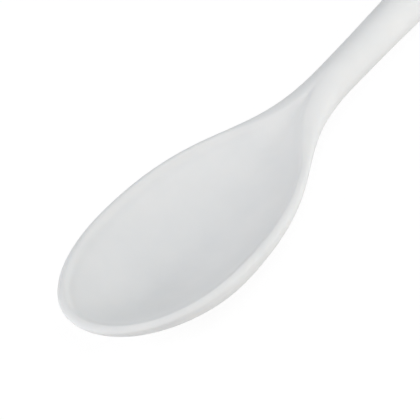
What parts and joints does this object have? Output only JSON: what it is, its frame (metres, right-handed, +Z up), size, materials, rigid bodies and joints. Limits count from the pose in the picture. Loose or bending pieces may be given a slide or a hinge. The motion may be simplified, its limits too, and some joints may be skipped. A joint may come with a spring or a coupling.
{
  "type": "cooking spoon",
  "caption": "Cooking spoon with an egg-shaped bowl, a rounded rim bead and a swelling round handle, in seamless white silicone over a riveted steel core, with a hanging hole.",
  "frame": {"origin": "on the table under the middle of the spoon's bounding box", "axes": "+X from the bowl to the end of the handle, +Y across the bowl, +Z up, with the hollow facing up"},
  "size_m": [0.3, 0.06, 0.0225],
  "materials": {
    "silicone": "white satin silicone",
    "steel": "plain stainless steel"
  },
  "bodies": {
    "root": {"silicone_skin": "silicone", "bowl_plate": "steel", "handle_rod": "steel", "tang_rivet_front": "steel", "tang_rivet_rear": "steel"}
  },
  "joints": []
}
